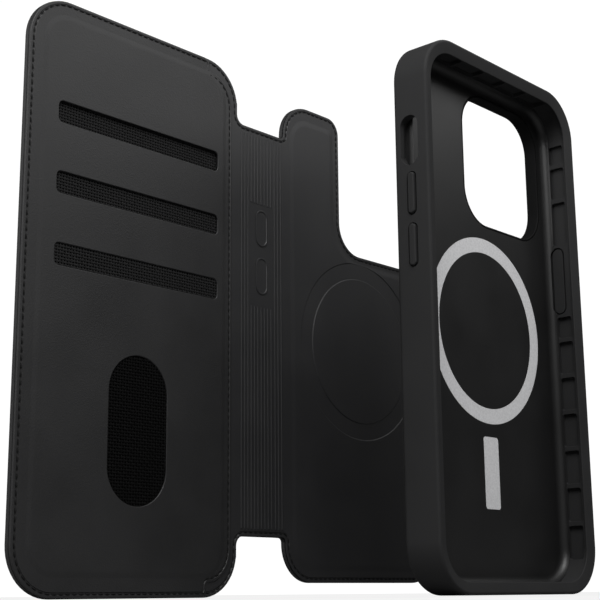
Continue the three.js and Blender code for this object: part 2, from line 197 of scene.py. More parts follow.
def put_down():
    """Leaves object mode on, with nothing selected."""
    if bpy.context.mode != "OBJECT":
        mode("OBJECT")
    bpy.ops.object.select_all(action="DESELECT")


def pick(piece):
    """Leaves only this piece selected and in hand, in object mode."""
    put_down()
    piece.select_set(True)
    bpy.context.view_layer.objects.active = piece


def choose_all():
    bpy.ops.mesh.select_all(action="SELECT")


def choose(kind, test):
    """Selects the points, edges or faces of the piece in hand that pass the test."""
    bpy.ops.mesh.select_mode(type=kind)
    bpy.ops.mesh.select_all(action="DESELECT")
    drawing = bmesh.from_edit_mesh(bpy.context.object.data)
    for item in {"VERT": drawing.verts, "EDGE": drawing.edges, "FACE": drawing.faces}[kind]:
        if test(item):
            item.select_set(True)
    bmesh.update_edit_mesh(bpy.context.object.data)


def middle(edge):
    return (edge.verts[0].co + edge.verts[1].co) / 2


def sharp(edge, limit=1.2):
    """True where two faces meet at more than the limit, in radians."""
    return len(edge.link_faces) == 2 and edge.calc_face_angle(0) > limit


def bevel(offset, segments, affect="EDGES"):
    bpy.ops.mesh.bevel(affect=affect, offset=offset, segments=segments, clamp_overlap=False)


def push(distance):
    """Extrudes what is selected straight along y."""
    bpy.ops.mesh.extrude_region_move(TRANSFORM_OT_translate={"value": (0, distance, 0)})


def inset(thickness, depth=0):
    bpy.ops.mesh.inset(thickness=thickness, depth=depth, use_even_offset=True)


def face_outward():
    choose_all()
    bpy.ops.mesh.normals_make_consistent(inside=False)


def score(at, across):
    """Cuts a line right over the piece where one of its axes has the given value."""
    choose_all()
    axis = {"x": (1, 0, 0), "y": (0, 1, 0), "z": (0, 0, 1)}[across]
    bpy.ops.mesh.bisect(plane_co=[at * step for step in axis], plane_no=axis)


def drop(test):
    choose("FACE", lambda face: test(face.calc_center_median()))
    bpy.ops.mesh.delete(type="FACE")


def merge_flat():
    choose_all()
    bpy.ops.mesh.dissolve_limited(angle_limit=0.01)


def round_corner(x, z, radius, steps=10):
    choose("VERT", lambda point: abs(point.co.x - x) < 0.01 and abs(point.co.z - z) < 0.01)
    bevel(radius, steps, "VERTICES")


def set_in_place(piece, body=None, crease=32):
    """From millimetres at the flap seam to the frame's metres, with its place in its mesh."""
    pick(piece)
    piece.scale = (0.001, 0.001, 0.001)
    piece.location = seam
    apply_place()
    bpy.ops.object.shade_smooth_by_angle(angle=math.radians(crease))
    bpy.ops.object.modifier_add(type="WEIGHTED_NORMAL")
    piece.modifiers[-1].keep_sharp = True
    bpy.ops.object.modifier_apply(modifier=piece.modifiers[-1].name)
    if body:
        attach(piece, body)
    return piece


def at(x, y, z):
    return (seam.x + x / 1000, seam.y + y / 1000, seam.z + z / 1000)


def folio_outline(name, y):
    """The whole folio laid open: flap, waisted spine, back cover with its camera notch."""
    blank = add_blank(name, flap_left, back_right, 0, flap_top, y)
    for x in (flap_right, back_left, tab_right):
        score(x, "x")
    for z in (back_bottom, spine_bottom, notch_bottom, spine_top, back_top):
        score(z, "z")
    drop(lambda c: flap_right < c.x < back_left and not spine_bottom < c.z < spine_top)
    drop(lambda c: c.x > back_left and not back_bottom < c.z < back_top)
    drop(lambda c: c.x > tab_right and c.z > notch_bottom)
    merge_flat()
    for z in (0, flap_top):
        round_corner(flap_left, z, 12.5, 14)
        round_corner(flap_right, z, 12, 14)
    for z in (spine_bottom, spine_top):
        round_corner(flap_right, z, 2.6, 6)
        round_corner(back_left, z, 1.3, 5)
    round_corner(back_left, back_bottom, 11, 14)
    round_corner(back_left, back_top, 11, 14)
    round_corner(back_right, back_bottom, 11, 14)
    round_corner(back_right, notch_bottom, 11, 14)
    round_corner(tab_right, notch_bottom, 9.3, 12)
    round_corner(tab_right, back_top, 5, 8)
    return blank


def score_folds():
    """Close-set lines over both folds, where the material has to bend."""
    choose("FACE", lambda face: len(face.verts) > 4)
    bpy.ops.mesh.quads_convert_to_tris(ngon_method="BEAUTY")
    for fold in (flap_fold, back_fold):
        for step in range(-8, 9):
            score(fold + step * 0.35, "x")


def keep_side(piece, name, left):
    """A copy of the piece with only what lies left or right of the middle of the spine."""
    pick(piece)
    bpy.ops.object.duplicate()
    half = bpy.context.object
    half.name = name
    mode("EDIT")
    choose_all()
    bpy.ops.mesh.bisect(
        plane_co=(spine_middle, 0, 0), plane_no=(1, 0, 0), use_fill=True,
        clear_outer=left, clear_inner=not left)
    return half


def scrap(*pieces):
    for piece in pieces:
        bpy.data.objects.remove(piece)


def bend_left(piece):
    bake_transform(piece)


def bend_right(piece):
    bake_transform(piece)


def thicken(thickness):
    mode("OBJECT")
    bpy.ops.object.modifier_add(type="SOLIDIFY")
    layer = bpy.context.object.modifiers[-1]
    layer.thickness, layer.offset = thickness, -1
    bpy.ops.object.modifier_apply(modifier=layer.name)
    mode("EDIT")


outer = folio_outline("outer_leather", cover_back)
choose_all()
bpy.ops.mesh.flip_normals()
bpy.ops.mesh.region_to_loop()
push(rim_front - cover_back)
choose("EDGE", lambda e: sharp(e, 0.9))
bevel(0.45, 4)
score_folds()
for x in (press_left - 0.1, press_right + 0.1):
    score(x, "x")
drawing = bmesh.from_edit_mesh(outer.data)
for point in drawing.verts:
    inward = min(point.co.x - press_left, press_right - point.co.x) / press_slope
    inward = max(0, min(1, inward))
    press = inward * inward * (3 - 2 * inward)
    deep = (cover_back - spine_back) / (cover_back - rim_front)
    point.co.y = rim_front + (point.co.y - rim_front) * (1 - deep * press)
bmesh.update_edit_mesh(outer.data)
thicken(leather_thickness)
folio_leather_left = keep_side(outer, "folio_leather_left", True)
folio_leather_right = keep_side(outer, "folio_leather_right", False)
scrap(outer)


def grain_group():
    """Fine pebble grain: cells a third of a millimetre wide over softer waves and mottling."""
    group = bpy.data.node_groups.new("pebble_grain", "ShaderNodeTree")
    for name, value in (("Cells per metre", 2600), ("Waves per metre", 420)):
        socket = group.interface.new_socket(name, in_out="INPUT", socket_type="NodeSocketFloat")
        socket.default_value = value
    group.interface.new_socket("Height", in_out="OUTPUT", socket_type="NodeSocketFloat")
    group.interface.new_socket("Mottle", in_out="OUTPUT", socket_type="NodeSocketFloat")
    nodes, links = group.nodes, group.links
    start, end = nodes.new("NodeGroupInput"), nodes.new("NodeGroupOutput")
    place = nodes.new("ShaderNodeTexCoord")
    cells = nodes.new("ShaderNodeTexVoronoi")
    cells.feature = "SMOOTH_F1"
    cells.inputs["Smoothness"].default_value = 0.6
    waves = nodes.new("ShaderNodeTexNoise")
    waves.inputs["Detail"].default_value = 3
    mottle = nodes.new("ShaderNodeTexNoise")
    mottle.inputs["Scale"].default_value = 55
    mottle.inputs["Detail"].default_value = 4
    total = nodes.new("ShaderNodeMath")
    total.operation = "MULTIPLY_ADD"
    total.inputs[1].default_value = 0.6
    for texture in (cells, waves, mottle):
        links.new(place.outputs["Object"], texture.inputs["Vector"])
    links.new(start.outputs["Cells per metre"], cells.inputs["Scale"])
    links.new(start.outputs["Waves per metre"], waves.inputs["Scale"])
    links.new(waves.outputs["Fac"], total.inputs[0])
    links.new(cells.outputs["Distance"], total.inputs[2])
    links.new(total.outputs["Value"], end.inputs["Height"])
    links.new(mottle.outputs["Fac"], end.inputs["Mottle"])
    return group


pebble_grain = grain_group()


def add_relief(nodes, links, height, shader, strength, depth):
    """Makes the height stand up from the surface by the depth, in metres."""
    relief = nodes.new("ShaderNodeBump")
    relief.inputs["Strength"].default_value = strength
    relief.inputs["Distance"].default_value = depth
    links.new(height, relief.inputs["Height"])
    links.new(relief.outputs["Normal"], shader.inputs["Normal"])


def coated_finish(name, dark, light, smooth, rough, cells, waves, depth, specular=0.5, sheen=0.0):
    """A black moulded or coated surface: grain in relief, colour and gloss that drift a little."""
    finish, nodes, links, shader = new_finish(name)
    shader.inputs["Specular IOR Level"].default_value = specular
    shader.inputs["Sheen Weight"].default_value = sheen
    shader.inputs["Sheen Roughness"].default_value = 0.5
    grain = nodes.new("ShaderNodeGroup")
    grain.node_tree = pebble_grain
    grain.inputs["Cells per metre"].default_value = cells
    grain.inputs["Waves per metre"].default_value = waves
    colour = two_colours(nodes, dark, light, 0.3, 0.7)
    gloss = nodes.new("ShaderNodeMapRange")
    gloss.inputs["From Min"].default_value, gloss.inputs["From Max"].default_value = 0.3, 0.7
    gloss.inputs["To Min"].default_value, gloss.inputs["To Max"].default_value = smooth, rough
    links.new(grain.outputs["Mottle"], colour.inputs["Fac"])
    links.new(grain.outputs["Mottle"], gloss.inputs["Value"])
    links.new(colour.outputs["Color"], shader.inputs["Base Color"])
    links.new(gloss.outputs["Result"], shader.inputs["Roughness"])
    add_relief(nodes, links, grain.outputs["Height"], shader, 0.6, depth)
    return finish


black_leather = coated_finish(
    "black_leather", (0.0125, 0.0125, 0.013), (0.0165, 0.0165, 0.017), 0.5, 0.58, 2600, 420,
    0.00005)
for half, bend in ((folio_leather_left, bend_left), (folio_leather_right, bend_right)):
    set_in_place(half)
    half.data.materials.append(black_leather)
    bend(half)
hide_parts("flap_skin")
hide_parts("back_skin", "spine_skin")

# Folio lining: the inner sheet, cut a hair smaller than the outer leather and sewn to it in a
# shallow groove. Raised vertical ribs run over the spine, broken in the middle by a plain patch
# with two pill outlines, through which the case's volume buttons are found and pressed.
rib_width, rib_proud, rib_buried = 0.62, 0.2, 0.15
side_ribs, back_ribs = (4.3, 5.6, 6.9), (17.95, 19.3, 20.65)
middle_ribs = [8.2 + 1.36 * step for step in range(7)]
plain_bottom, plain_top = 81.3, 112.2
pad_centres, pad_left, pad_right, pad_length = (105.0, 90.65), 10.1, 14.9, 11.0
lining_end, lining_side, lining_step, lining_top_step = -12.6, -3.4, 14, 137


def sew_groove():
    """The pressed line that the stitches lie in, a millimetre inside the edge."""
    for inward, depth in ((0.72, 0), (0.16, -0.16), (0.42, 0), (0.16, 0.16)):
        inset(inward, depth)


lining = folio_outline("lining", 0)
choose_all()
inset(0.12)
choose("FACE", lambda face: len(face.verts) == 4)
bpy.ops.mesh.delete(type="FACE")
choose_all()
sew_groove()
score_folds()
for x in (lining_end, lining_side):
    score(x, "x")
for z in (lining_step, lining_top_step):
    score(z, "z")
drop(lambda c: c.x < lining_end or (
    c.x < lining_side and lining_step < c.z < lining_top_step))
thicken(0.3)
choose("EDGE", sharp)
bevel(0.13, 2)
lining_left = keep_side(lining, "spine_lining_left", True)
lining_right = keep_side(lining, "cover_lining", False)
scrap(lining)


def add_block(name, left, right, front, back, bottom, top):
    """A plain block in millimetres from the flap seam, in edit mode."""
    put_down()
    bpy.ops.mesh.primitive_cube_add(
        size=1, location=((left + right) / 2, (front + back) / 2, (bottom + top) / 2))
    block = bpy.context.object
    block.name = name
    block.scale = (right - left, back - front, top - bottom)
    apply_place()
    mode("EDIT")
    return block


def runs_along(edge, axis):
    way = edge.verts[1].co - edge.verts[0].co
    return abs(way.normalized()[axis]) > 0.99


def spine_rib(x, bottom, top):
    """One rib with a rounded crest and ends that run out into the lining."""
    rib = add_block(
        "rib", x - rib_width / 2, x + rib_width / 2, -rib_proud, rib_buried, bottom, top)
    choose("EDGE", lambda e: middle(e).y < 0 and runs_along(e, 2))
    bevel(0.2, 3)
    for x in (flap_fold + fold_reach, back_fold + fold_reach):
        score(x, "x")
    mode("OBJECT")
    return rib


def button_outline(centre):
    """A raised pill outline: a low bead round a flat middle."""
    bead = add_block(
        "button_outline", pad_left, pad_right, -0.16, rib_buried,
        centre - pad_length / 2, centre + pad_length / 2)
    choose("EDGE", lambda e: runs_along(e, 1))
    bevel(2.3, 8)
    choose("FACE", lambda f: f.normal.y < -0.9)
    inset(0.18, 0.06)
    inset(0.24)
    inset(0.18, -0.19)
    mode("OBJECT")
    return bead


def join(whole, parts):
    put_down()
    for part in [whole, *parts]:
        part.select_set(True)
    bpy.context.view_layer.objects.active = whole
    bpy.ops.object.join()
    return whole


rib_bottom, rib_top = spine_bottom + 2.2, spine_top - 2.2
side_rib_set = [spine_rib(x, rib_bottom, rib_top) for x in side_ribs]
ribs = [spine_rib(x, rib_bottom, rib_top) for x in back_ribs]
for x in middle_ribs:
    ribs += [spine_rib(x, rib_bottom, plain_bottom), spine_rib(x, plain_top, rib_top)]
ribs += [button_outline(centre) for centre in pad_centres]

# The back cover's padded middle: thin foam under the lining lifts it by a fifth of a millimetre,
# and a ring is pressed into it over the cover's magnets.
ring_x, ring_z, ring_outer, ring_inner, ring_depth = 56.9, 74.4, 28.0, 22.5, 0.2
foam_left, foam_right, foam_bottom, foam_top = 24.2, 89.4, 6.6, 144.2
foam_tab, foam_notch = 45.4, 102.9
cover_rise = 0.2


def swell(rise, slope, depth):
    """Makes the sheet in hand a soft pillow with an S-shaped side, closed at the given depth."""
    choose_all()
    share = ((0.16, 0.03), (0.17, 0.12), (0.17, 0.25), (0.17, 0.27), (0.17, 0.20), (0.16, 0.13))
    for inward, up in share:
        inset(inward * slope, up * rise)
    inset(0.3)
    choose_all()
    bpy.ops.mesh.region_to_loop()
    push(depth)
    bpy.ops.mesh.edge_face_add()
    face_outward()
    mode("OBJECT")


pad = add_blank("cover_pad", foam_left, foam_right, foam_bottom, foam_top, 0.01)
score(foam_tab, "x")
score(foam_notch, "z")
drop(lambda c: c.x > foam_tab and c.z > foam_notch)
merge_flat()
for x, z, radius in (
        (foam_left, foam_bottom, 8.8), (foam_right, foam_bottom, 8.8),
        (foam_right, foam_notch, 8.8), (foam_tab, foam_notch, 11.6),
        (foam_tab, foam_top, 2.9), (foam_left, foam_top, 8.8)):
    round_corner(x, z, radius, 10)
swell(cover_rise, 2.4, 0.1)


def ring_cutter(name, outer, inner, floor, front, flare, sides=96):
    """An annulus with its front edges spread, to press or cut a round channel."""
    put_down()
    bpy.ops.mesh.primitive_circle_add(
        vertices=sides, radius=outer, fill_type="NGON", location=(ring_x, floor, ring_z),
        rotation=(math.pi / 2, 0, 0))
    cutter = bpy.context.object
    cutter.name = name
    apply_place()
    mode("EDIT")
    choose_all()
    bpy.ops.mesh.inset(thickness=outer - inner)
    bpy.ops.mesh.delete(type="FACE")
    choose_all()
    push(front - floor)
    far = (outer + inner) / 2
    centre = (ring_x, front, ring_z)

    def loop(test):
        choose("VERT", lambda v: abs(v.co.y - front) < 1e-4 and test(
            math.hypot(v.co.x - ring_x, v.co.z - ring_z)))

    loop(lambda reach: reach > far)
    bpy.ops.transform.resize(value=((outer + flare) / outer,) * 3, center_override=centre)
    loop(lambda reach: reach < far)
    bpy.ops.transform.resize(value=((inner - flare) / inner,) * 3, center_override=centre)
    face_outward()
    mode("OBJECT")
    return cutter


def carve(piece, cutters):
    """Cuts the cutters out of the piece, and puts them away."""
    cutter = join(cutters[0], cutters[1:])
    pick(piece)
    bpy.ops.object.modifier_add(type="BOOLEAN")
    cut = piece.modifiers[-1]
    cut.operation, cut.solver, cut.object = "DIFFERENCE", "EXACT", cutter
    bpy.ops.object.modifier_apply(modifier=cut.name)
    scrap(cutter)


join(lining_left, side_rib_set)
surface = 0.01 - cover_rise
carve(pad, [ring_cutter(
    "ring_press", ring_outer - 0.35, ring_inner + 0.35, surface + ring_depth, surface - 0.2, 0.6)])
cover_lining = join(lining_right, ribs + [pad])
smooth_lining = coated_finish(
    "smooth_lining", (0.016, 0.016, 0.017), (0.020, 0.020, 0.021), 0.5, 0.58, 3000, 500, 0.00002)
# The pressed ring's finish is glossier, and its colour is lighter as well: the lighter colour is a
# painted sheen.
pressed_lining_painted_sheen = coated_finish(
    "pressed_lining_painted_sheen", (0.020, 0.020, 0.021), (0.025, 0.025, 0.026), 0.45, 0.5, 3000, 500, 0.00001)
for half, bend in ((lining_left, bend_left), (cover_lining, bend_right)):
    set_in_place(half, crease=14)
    half.data.materials.append(smooth_lining)
    bend(half)
cover_lining.data.materials.append(pressed_lining_painted_sheen)
# Faces on the channel floor get the lighter finish, a painted sheen.
channel = Vector(at(ring_x, surface + ring_depth, ring_z))
for polygon in cover_lining.data.polygons:
    offsets = [cover_lining.data.vertices[index].co - channel for index in polygon.vertices]
    if all(abs(offset.y) < 0.00005 and ring_inner - 0.6 < offset.length * 1000 < ring_outer + 0.6
           for offset in offsets):
        polygon.material_index = 1
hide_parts("spine_lining", "back_lining")

# Wallet face: the formed leather sheet on the flap. It steps in from the flap's edge beside the
# spine, and its padded middle has three card slots and an oval thumb window with rounded lips.
face_right, face_step_x, face_step = 0.2, -8.9, 3.9
face_front = -0.22
card_left, card_right, card_bottom, card_top = -64.8, -4.1, 17.6, 132.4
quilt_left, quilt_right, quilt_bottom, quilt_top = -67.4, -1.9, 4.4, 148.1
pad_rise, pad_front = 0.2, -0.4
slot_left, slot_right, slot_height, slot_centres = -61.6, -5.7, 5.8, (83.6, 102.2, 120.9)
window_x, window_width, window_bottom, window_top = -33.5, 19.6, 22.6, 61.2


def face_outline(name):
    """The wallet face's own edge: a hair inside the flap, stepped in beside the spine."""
    blank = add_blank(name, flap_left + 0.15, face_right, 0.15, flap_top - 0.15, face_front)
    score(face_step_x, "x")
    score(face_step, "z")
    score(flap_top - face_step, "z")
    drop(lambda c: c.x > face_step_x and not face_step < c.z < flap_top - face_step)
    merge_flat()
    for z, turn in ((0.15, face_step), (flap_top - 0.15, flap_top - face_step)):
        round_corner(flap_left + 0.15, z, 12.3, 14)
        round_corner(face_step_x, z, 1.9, 5)
        round_corner(face_step_x, turn, 0.8, 4)
        round_corner(face_right, turn, 9.4, 12)
    return blank


face = face_outline("wallet_face_leather")
choose_all()
bpy.ops.mesh.select_mode(type="FACE")
sew_groove()
choose_all()
thicken(face_back - face_front)
choose("EDGE", lambda e: sharp(e) and middle(e).y < 0)
bevel(0.2, 3)
pocket = add_block("pocket", card_left, card_right, -1, 1, card_bottom, card_top)
carve(face, [pocket])

padding = add_blank(
    "wallet_pad", quilt_left, quilt_right, quilt_bottom, quilt_top, face_front + 0.02)
for x in (quilt_left, quilt_right):
    for z in (quilt_bottom, quilt_top):
        round_corner(x, z, 8.7, 12)
swell(pad_rise, 2, 0.13)


def opening_cutter(left, right, bottom, top, radius, steps):
    cutter = add_block("opening", left, right, -2, 2, bottom, top)
    choose("EDGE", lambda e: runs_along(e, 1))
    bevel(radius, steps)
    mode("OBJECT")
    return cutter


cutters = [opening_cutter(slot_left, slot_right, z - slot_height / 2, z + slot_height / 2, 1.4, 5)
           for z in slot_centres]
window_half = window_width / 2
cutters.append(opening_cutter(
    window_x - window_half, window_x + window_half, window_bottom, window_top,
    window_half - 0.01, 16))
carve(padding, cutters)
mode("EDIT")
choose("EDGE", lambda e: sharp(e)
       and middle(e).y < pad_front + 0.1 and slot_left - 1 < middle(e).x < slot_right + 1)
bevel(0.22, 3)
mode("OBJECT")
wallet_face = join(face, [padding])
set_in_place(wallet_face, "flap")
wallet_face.data.materials.append(black_leather)
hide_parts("wallet_face")

# Pocket dividers: three sheets of woven net behind the card slots, each reaching 9 mm above the
# middle of its own slot. The threads are laid over and under each other wherever a slot or the
# window shows them, and the rest of each sheet is plain cloth behind the leather.
divider_left, divider_right, divider_bottom = -64.4, -4.5, 18.0
divider_thickness, first_divider, divider_step, divider_above_slot = 0.12, 0.14, 0.3, 9
warp_pitch, weft_pitch, thread_wide, thread_deep = 0.9, 0.8, 0.25, 0.24
net_margin, net_half, net_in_front = 0.6, 3.4, 0.12


def thread_run(name, length, turned):
    """One wave of thread, flat in section, that passes over one crossing and under the next."""
    put_down()
    bpy.ops.mesh.primitive_cylinder_add(vertices=6, radius=1, depth=length, end_fill_type="NOTHING")
    wave = bpy.context.object
    wave.name = name
    wave.scale = (thread_wide, thread_deep / 2, 1)
    apply_place()
    mode("EDIT")
    for step in range(1, 6):
        score(-length / 2 + step * length / 6, "z")
    for step in range(7):
        here = -length / 2 + step * length / 6
        choose("VERT", lambda v: abs(v.co.z - here) < 0.01)
        lift = math.cos(step / 6 * 2 * math.pi) * thread_deep / 2 * (-1 if turned else 1)
        bpy.ops.transform.translate(value=(0, lift, 0))
    mode("OBJECT")
    if turned:
        pick(wave)
        wave.rotation_euler = (0, math.pi / 2, 0)
        apply_place()
    return wave


def repeat(piece, columns, rows, column_step, row_step):
    """Lays the piece out in a grid to the right and upwards."""
    pick(piece)
    for count, step in ((columns, (column_step, 0, 0)), (rows, (0, 0, row_step))):
        bpy.ops.object.modifier_add(type="ARRAY")
        row = piece.modifiers[-1]
        row.count, row.use_relative_offset, row.use_constant_offset = count, False, True
        row.constant_offset_displace = step
        bpy.ops.object.modifier_apply(modifier=row.name)


def shift(piece, x, y, z):
    piece.location = (x, y, z)
    pick(piece)
    bpy.ops.object.transform_apply(location=True, rotation=False, scale=False)


def woven_patch(name, left, right, bottom, top, y):
    """Net seen through one opening: warp and weft threads that cross in turn."""
    columns, rows = math.ceil((right - left) / warp_pitch), math.ceil((top - bottom) / weft_pitch)
    threads = []
    for odd in (0, 1):
        warp = thread_run("warp", 2 * weft_pitch, False)
        repeat(warp, (columns + 1) // 2, (rows + 1) // 2, 2 * warp_pitch, 2 * weft_pitch)
        shift(warp, left + odd * warp_pitch, y, bottom + odd * weft_pitch)
        weft = thread_run("weft", 2 * warp_pitch, True)
        repeat(weft, (columns + 1) // 2, (rows + 1) // 2, 2 * warp_pitch, 2 * weft_pitch)
        shift(weft, left + odd * warp_pitch, y, bottom + odd * weft_pitch)
        threads += [warp, weft]
    patch = join(threads[0], threads[1:])
    patch.name = name
    mode("EDIT")
    choose_all()
    bpy.ops.mesh.remove_doubles(threshold=0.001)
    face_outward()
    mode("OBJECT")
    return patch


def fleck_finish(name, dark, light, cells, depth, roughness=0.75, specular=0.25, detail=5,
                 low=0.35, strength=0.7):
    """An even finish with fine fibres or specks that lighten it a little and stand up from it."""
    finish, nodes, links, shader = new_finish(name)
    shader.inputs["Roughness"].default_value = roughness
    shader.inputs["Specular IOR Level"].default_value = specular
    place = nodes.new("ShaderNodeTexCoord")
    fibre = nodes.new("ShaderNodeTexNoise")
    fibre.inputs["Scale"].default_value = cells
    fibre.inputs["Detail"].default_value = detail
    ramp = two_colours(nodes, dark, light, low, 0.7)
    links.new(place.outputs["Object"], fibre.inputs["Vector"])
    links.new(fibre.outputs["Fac"], ramp.inputs["Fac"])
    links.new(ramp.outputs["Color"], shader.inputs["Base Color"])
    add_relief(nodes, links, fibre.outputs["Fac"], shader, strength, depth)
    return finish


net_thread = fleck_finish(
    "net_thread", (0.007, 0.007, 0.007), (0.022, 0.022, 0.0225), 5200, 0.00004, specular=0.15)
# The window's threads are a darker, less shiny copy of the net thread: painted shade for the deep
# oval window.
window_thread_painted_shade = fleck_finish(
    "window_thread_painted_shade", (0.001, 0.001, 0.001), (0.009, 0.009, 0.009), 5200, 0.00004, specular=0.06)
# The divider sheets are black cloth made near black, darker than real cloth: painted shade for the
# pocket behind the net.
backing_cloth_painted_shade = fleck_finish(
    "backing_cloth_painted_shade", (0.0002, 0.0002, 0.0002), (0.0006, 0.0006, 0.0006), 3800, 0.00003, specular=0)
for order, centre in enumerate(slot_centres):
    y = first_divider + divider_step * order
    top = centre + divider_above_slot
    divider = add_blank(
        f"divider_cloth_{order + 1}", divider_left, divider_right, divider_bottom, top, y)
    for step in range(1, 8):
        score(divider_left + step * (divider_right - divider_left) / 8, "x")
        score(divider_bottom + step * (top - divider_bottom) / 8, "z")
    thicken(divider_thickness)
    set_in_place(divider, "flap")
    patches = [woven_patch(
        f"slot_net_{order + 1}", slot_left - net_margin, slot_right + net_margin,
        centre - net_half, centre + net_half, y - net_in_front)]
    if order == 0:
        patches.append(woven_patch(
            "window_net", window_x - window_half - net_margin,
            window_x + window_half + net_margin, window_bottom - net_margin,
            window_top + net_margin, y - net_in_front))
    for patch in patches:
        set_in_place(patch, "flap")
    for piece in (divider, *patches):
        thread = window_thread_painted_shade if piece.name == "window_net" else net_thread
        piece.data.materials.append(backing_cloth_painted_shade if piece == divider else thread)
    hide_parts(f"card_divider_{order + 1}")

# Stitching: single black stitches all round the folio, just inside the edge, on the lining side
# and again on the outside, where the leather over the flap's fold is left plain because it bends
# away from them. Each is a short plump strand pulled down at both ends.
stitch_pitch, stitch_long, stitch_wide, stitch_inset = 2.0, 1.45, 0.44, 1.2
fold_plain = 2.3


def one_stitch():
    put_down()
    bpy.ops.mesh.primitive_cylinder_add(vertices=6, radius=stitch_wide / 2, depth=stitch_long)
    strand = bpy.context.object
    strand.name = "stitch"
    mode("EDIT")
    for step in (-0.3, -0.1, 0.1, 0.3):
        score(step * stitch_long, "z")
    for reach, small, sink in ((0.5, 0.35, 0.1), (0.3, 0.85, 0.03)):
        for end in (-1, 1):
            choose("VERT", lambda v: abs(v.co.z - end * reach * stitch_long) < 0.01)
            centre = (0, 0, end * reach * stitch_long)
            bpy.ops.transform.resize(value=(small, small, 1), center_override=centre)
            bpy.ops.transform.translate(value=(0, sink, 0))
    choose_all()
    bpy.ops.transform.resize(value=(1, 0.7, 1), center_override=(0, 0, 0))
    mode("OBJECT")
    return strand


def inset_path(blank):
    """The line that the stitches follow inside the edge of the blank, point by point."""
    choose("FACE", lambda face: True)
    inset(stitch_inset)
    mode("OBJECT")
    face = max(blank.data.polygons, key=lambda polygon: polygon.area)
    path = [blank.data.vertices[number].co.copy() for number in face.vertices]
    scrap(blank)
    return path


def stitch_spots(path):
    """Evenly spaced places along a closed path, each with the way the path runs there."""
    spots, carried = [], 0.0
    for start, stop in zip(path, path[1:] + path[:1]):
        length = (stop - start).length
        while carried < length:
            spots.append((start.lerp(stop, carried / length), (stop - start).normalized()))
            carried += stitch_pitch
        carried -= length
    return spots


strand = one_stitch()
sewn = {"left": [], "right": []}
around = stitch_spots(inset_path(folio_outline("stitch_path", 0)))
beside_spine = [(spot, way) for spot, way in stitch_spots(inset_path(face_outline("face_path")))
                if spot.x > face_step_x - 1]
for spot, way in around + beside_spine:
    along = Vector((way.x, 0, way.z))
    across = along.cross(Vector((0, 1, 0)))
    on_face = spot.x < face_step_x - 0.8 or (spot, way) in beside_spine
    on_spine = flap_right - 0.5 < spot.x < back_left - 1.2
    in_fold = abs(spot.x - flap_fold) < fold_plain
    for outside in ((False,) if in_fold or (spot, way) in beside_spine else (False, True)):
        out = Vector((0, -1 if outside else 1, 0))
        y = face_front if on_face else 0.03
        if outside:
            y = spine_back if on_spine else cover_back
        turn = Matrix((
            (across.x, out.x, along.x, spot.x),
            (0, out.y, 0, y + (0.02 if outside else -0.02)),
            (across.z, out.z, along.z, spot.z),
            (0, 0, 0, 1),
        ))
        copy = bpy.data.objects.new("stitch", strand.data.copy())
        copy.data.transform(turn)
        bpy.context.collection.objects.link(copy)
        sewn["left" if spot.x < spine_middle else "right"].append(copy)
scrap(strand)
sewing_thread = fleck_finish(
    "sewing_thread", (0.004, 0.004, 0.004), (0.010, 0.010, 0.010), 9000, 0.00003)
for side, bend in (("left", bend_left), ("right", bend_right)):
    stitching = join(sewn[side][0], sewn[side][1:])
    stitching.name = f"folio_stitching_{side}"
    mode("EDIT")
    face_outward()
    set_in_place(stitching)
    stitching.data.materials.append(sewing_thread)
    bend(stitching)
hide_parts("flap_stitching")
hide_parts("spine_top_stitching", "spine_bottom_stitching", "back_stitching")

# Case bumper: the soft rubber wall round the phone. A lip holds the phone in at the front, the
# hard tray is moulded into the back, and pockets inside the walls let them crush in a fall.
case_left, case_right, case_top, case_radius = 18.7, 95.1, 152.3, 13.5
case_front, case_back, case_floor = -56.5, -44.75, -47.1
wall, lip_width, lip_back, tray_inset = 2.7, 3.4, -55.1, 1.5
button_y, button_width, pill_half, flange_half = -50.5, 3.2, 1.1, 1.8
volume_spots, volume_length = (106.3, 91.8), 12.3
switch_spot, switch_length, switch_width, switch_y = 121.5, 14.3, 5.9, -50.1
lip_slope = 0.9  # the lip falls away towards the opening
wall_swell = 0.6  # the far side and the top of the wall are this much stouter
side_spot, side_length = 94.5, 19.6


def case_outline(name, y, inward=0.0, steps=20):
    """A rounded rectangle of the case's outline, moved inward."""
    blank = add_blank(name, case_left + inward, case_right - inward, inward, case_top - inward, y)
    for x in (case_left + inward, case_right - inward):
        for z in (inward, case_top - inward):
            round_corner(x, z, case_radius - inward, steps)
    choose_all()
    return blank


bumper = case_outline("case_bumper_rubber", case_back)
inset(tray_inset)
push(case_floor - 0.05 - case_back)
inset(wall - tray_inset)
push(lip_back - case_floor + 0.05)
inset(lip_width - wall)
push(case_front - lip_back)
bpy.ops.mesh.delete(type="FACE")
choose("EDGE", lambda e: len(e.link_faces) == 1 and abs(middle(e).y - case_back) < 0.01)
push(case_front - case_back)
choose("EDGE", lambda e: len(e.link_faces) == 1)
bpy.ops.mesh.bridge_edge_loops()
face_outward()


def on_outer_wall(point, right, top):
    """True on the outer face of the wall, for a case of that right side and top."""
    beyond_x = abs(point.x - (case_left + right) / 2) - (right - case_left) / 2 + case_radius
    beyond_z = abs(point.z - top / 2) - top / 2 + case_radius
    return math.hypot(max(beyond_x, 0), max(beyond_z, 0)) > case_radius - 0.2


